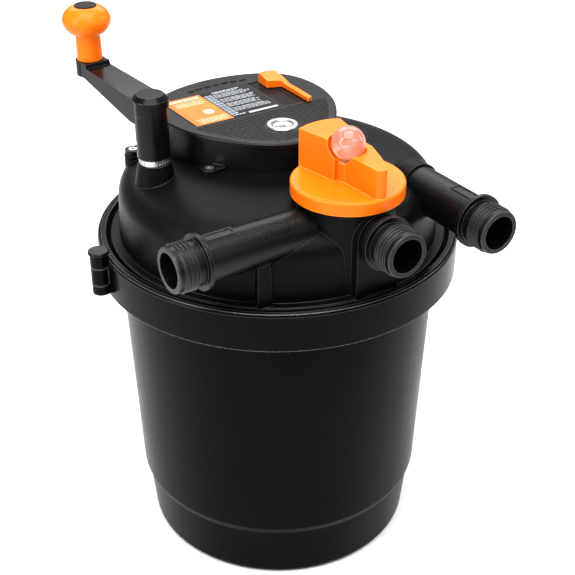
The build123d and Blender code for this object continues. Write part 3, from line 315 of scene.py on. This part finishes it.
def add_bar(bm, x0, y0, x1, y1, z, thick):
    """A thin printed bar lying flat, from one corner to the other."""
    verts = bmesh.ops.create_cube(bm, size=1.0)["verts"]
    size = Matrix.Diagonal((x1 - x0, y1 - y0, thick, 1.0))
    place = Matrix.Translation(((x0 + x1) / 2, (y0 + y1) / 2, z + thick / 2))
    bmesh.ops.transform(bm, matrix=place @ size, verts=verts)


# ---------------------------------------------------------------- label print
INK = 0.05 * MM               # thickness of one printed layer
SHORTEST_WORD = 1.8 * MM
LONGEST_WORD = 6.5 * MM
WORD_GAP = 0.9 * MM
LEAST_ROOM = 1.5 * MM         # a row ends when less than this is left of it
SMALL_PRINT = 1.2 * MM        # height of a row
FINE_PRINT = 1.1 * MM
HEADING = 5.2 * MM
MARK_RADIUS = 6.2 * MM
WHITE_ROWS = 20
ROWS_PER_BLOCK = 5            # the last row of each block stays blank
BOX_ROWS = 10
BOX_PITCH = 6.2 * MM
BOX_HEIGHT = 4.8 * MM
LABEL_MARGIN = 1.0 * MM
ORANGE_SHARE = 0.43           # of the label's width


def word_row(bm, picker, x0, x1, y, height, z):
    """A row of short bars of differing lengths, like a line of writing seen from far away."""
    x = x0
    while x < x1 - LEAST_ROOM:
        word = min(picker.uniform(SHORTEST_WORD, LONGEST_WORD), x1 - x)
        add_bar(bm, x, y - height, x + word, y, z, INK)
        x += word + WORD_GAP


def orange_side(x0, y0, x1, y1, top, picker):
    """The orange field with a heading, two blocks of four small rows and a round mark."""
    field = bmesh.new()
    add_bar(field, x0, y0, x1, y1, top, INK)
    piece("label_orange_field", field, label_orange)
    pale = bmesh.new()
    above = top + INK
    word_row(pale, picker, x0 + 3 * MM, x1 - 4 * MM, y1 - 3.5 * MM, HEADING, above)
    for row in range(4):
        y = y1 - (13 + 3.1 * row) * MM
        word_row(pale, picker, x0 + 6 * MM, x1 - (3 + 4 * (row % 2)) * MM, y, SMALL_PRINT, above)
    for row in range(4):
        y = y0 + (14 - 3.0 * row) * MM
        word_row(pale, picker, x0 + (6 + 3 * (row % 2)) * MM, x1 - 3 * MM, y, SMALL_PRINT, above)
    mark = bmesh.ops.create_circle(pale, cap_ends=True, segments=40, radius=MARK_RADIUS)["verts"]
    bmesh.ops.translate(pale, verts=mark, vec=(x0 + 30 * MM, y0 + 29 * MM, above + INK))
    piece("label_orange_print", pale, ink_pale)


def dark_side(x0, y0, x1, y1, top, picker):
    """White rows, a column of picture boxes and a solid bar along the lower edge."""
    white = bmesh.new()
    for row in range(2):
        y = y1 - (2.5 + 2.9 * row) * MM
        word_row(white, picker, x0 + 14 * MM, x1 - (8 + 6 * row) * MM, y, 1.5 * MM, top)
    pitch = (y1 - y0 - 20 * MM) / WHITE_ROWS
    for row in range(WHITE_ROWS):
        y = y1 - 10 * MM - row * pitch
        if row % ROWS_PER_BLOCK != ROWS_PER_BLOCK - 1:
            end = x1 - picker.uniform(1.5, 16) * MM
            word_row(white, picker, x0 + 12 * MM, end, y, FINE_PRINT, top)
    word_row(white, picker, x0 + 2 * MM, x0 + 19 * MM, y0 + 6 * MM, 1.8 * MM, top)
    add_bar(white, x0 + 21 * MM, y0 + 2.2 * MM, x1 - 2 * MM, y0 + 6.4 * MM, top, INK)
    piece("label_white_print", white, ink_white)
    boxes = bmesh.new()
    for row in range(BOX_ROWS):
        y = y1 - 8 * MM - BOX_PITCH * row
        add_bar(boxes, x0 + 1.6 * MM, y - BOX_HEIGHT, x0 + 6.0 * MM, y, top, INK)
        add_bar(boxes, x0 + 6.8 * MM, y - BOX_HEIGHT, x0 + 10.6 * MM, y, top, INK)
    piece("label_box_print", boxes, ink_grey)


def label_print():
    """Everything printed on the label plate, split into an orange and a dark side."""
    low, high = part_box("label_plate")
    picker = random.Random(5)
    split = low.x + (high.x - low.x) * ORANGE_SHARE
    y0 = low.y + LABEL_MARGIN
    y1 = high.y - LABEL_MARGIN
    orange_side(low.x + LABEL_MARGIN, y0, split, y1, high.z, picker)
    dark_side(split, y0, high.x - LABEL_MARGIN, y1, high.z, picker)


# ---------------------------------------------------------------- window
FACE_THICK = 0.4 * MM
FACE_DEPTH = 0.5 * MM         # of the face's middle below the lens
POINTER_DEPTH = 0.3 * MM
POINTER_THICK = 0.15 * MM
CROSS_THICK = 0.16 * MM
FACE_CLEARANCE = 0.1 * MM


def window_face():
    """A bright face with a dark pointer below the lens."""
    low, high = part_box("window_lens")
    middle = (low + high) / 2
    radius = (high.x - low.x) / 2 - FACE_CLEARANCE
    x, y = middle.x, middle.y
    face = bmesh.new()
    disc = bmesh.ops.create_cone(face, cap_ends=True, segments=48, radius1=radius, radius2=radius,
                                 depth=FACE_THICK)["verts"]
    bmesh.ops.translate(face, verts=disc, vec=(x, y, low.z - FACE_DEPTH))
    piece("window_face", face, bezel_silver)
    mark = bmesh.new()
    level = low.z - POINTER_DEPTH
    add_bar(mark, x - 6 * MM, y - 1.2 * MM, x + 6 * MM, y + 1.4 * MM, level, POINTER_THICK)
    add_bar(mark, x - 1.2 * MM, y - 4.5 * MM, x + 2.4 * MM, y + 4 * MM, level, CROSS_THICK)
    piece("window_pointer", mark, label_dark)


label_print()
window_face()


# ---------------------------------------------------------------- floor, lights and camera
FLOOR_HALF = 14.0             # metres
WORLD_STRENGTH = 0.35
LENS_MM = 72.0
SENSOR_MM = 36.0
VIEW_AZIMUTH = -33.0          # degrees from the front (-Y), positive to the right
VIEW_ELEVATION = 30.87
VIEW_DISTANCE = 1.299
AIM = Vector((8.99, -5.84, 289.5)) * MM


def pale_floor():
    """A plain pale floor under the object."""
    n = Nodes("floor_pale")
    cloud = n.noise(2.0, 3.0)
    n.set(Base_Color=n.mix(n.ramp(cloud, 0.3, 0.7), (0.90, 0.90, 0.90), (0.93, 0.93, 0.93)), Roughness=0.7)
    bm = bmesh.new()
    bmesh.ops.create_grid(bm, x_segments=1, y_segments=1, size=FLOOR_HALF)
    mesh_object("floor", bm, n.material)


def aimed(name, data, azimuth, elevation, distance):
    """An object that looks at the aim point from an angle and a distance."""
    obj = bpy.data.objects.new(name, data)
    a, e = radians(azimuth), radians(elevation)
    away = Vector((sin(a) * cos(e), -cos(a) * cos(e), sin(e)))
    obj.location = AIM + away * distance
    obj.rotation_euler = away.to_track_quat("Z", "Y").to_euler()
    bpy.context.scene.collection.objects.link(obj)
    return obj


def soft_light(name, azimuth, elevation, distance, size, power):
    """A rectangular area light, in degrees, metres and watts."""
    data = bpy.data.lights.new(name, "AREA")
    data.shape = "RECTANGLE"
    data.size, data.size_y = size
    data.energy = power
    aimed(name, data, azimuth, elevation, distance)


def world_light():
    """An even white surrounding."""
    world = bpy.data.worlds.new("studio")
    bpy.context.scene.world = world
    world.use_nodes = True
    background = world.node_tree.nodes["Background"]
    background.inputs["Color"].default_value = (1.0, 1.0, 1.0, 1.0)
    background.inputs["Strength"].default_value = WORLD_STRENGTH


def camera():
    """The camera of the main view."""
    data = bpy.data.cameras.new("camera")
    data.lens = LENS_MM
    data.sensor_width = SENSOR_MM
    data.clip_end = 100.0
    bpy.context.scene.camera = aimed("camera", data, VIEW_AZIMUTH, VIEW_ELEVATION, VIEW_DISTANCE)


pale_floor()
world_light()
# Azimuth, elevation, distance, width and height, power
soft_light("overhead", -33, 77, 2.6, (2.4, 2.4), 95)
soft_light("rear", 150, 42, 2.8, (3.4, 1.3), 44)
soft_light("left_panel", -88, 28, 2.2, (0.5, 1.6), 24)
soft_light("right_panel", 70, 25, 2.4, (0.6, 1.6), 12)
soft_light("front_strip", -10, 38, 2.0, (1.6, 0.25), 9)
camera()
bpy.context.scene.view_settings.view_transform = "Standard"
bpy.context.scene.view_settings.look = "Medium High Contrast"
